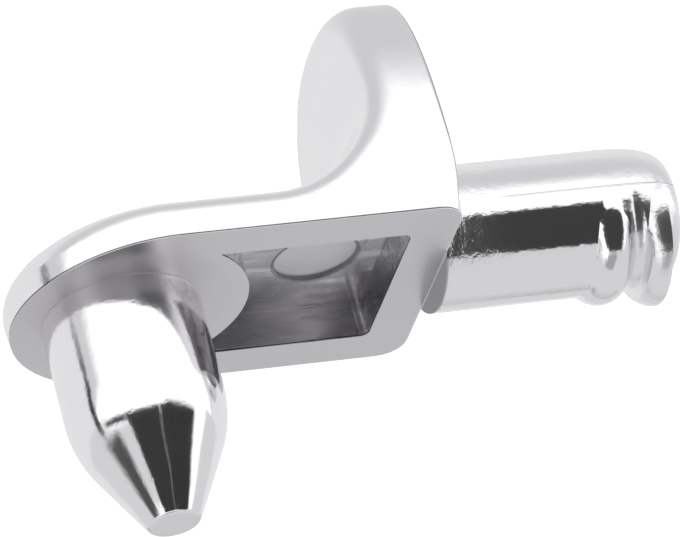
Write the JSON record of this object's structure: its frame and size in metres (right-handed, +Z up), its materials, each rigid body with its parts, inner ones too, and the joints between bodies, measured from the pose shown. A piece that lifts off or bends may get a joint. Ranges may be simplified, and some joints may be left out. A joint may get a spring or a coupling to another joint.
{
  "type": "shelf support pin",
  "caption": "Cast shelf support: a beaded wall pin, a seat plate with a pocket, an upright conical peg and a half-oval brace tab.",
  "frame": {"origin": "on the wall pin's axis, at the wall face", "axes": "+X along the plate, from the wall to its round tip; +Y across the plate; +Z up along the shelf peg, out of the seat face"},
  "size_m": [0.0225, 0.0102, 0.0169],
  "materials": {
    "plated_zinc": "bright nickel plate over die-cast zinc"
  },
  "bodies": {
    "root": {"shelf_support": "plated_zinc"}
  },
  "joints": []
}
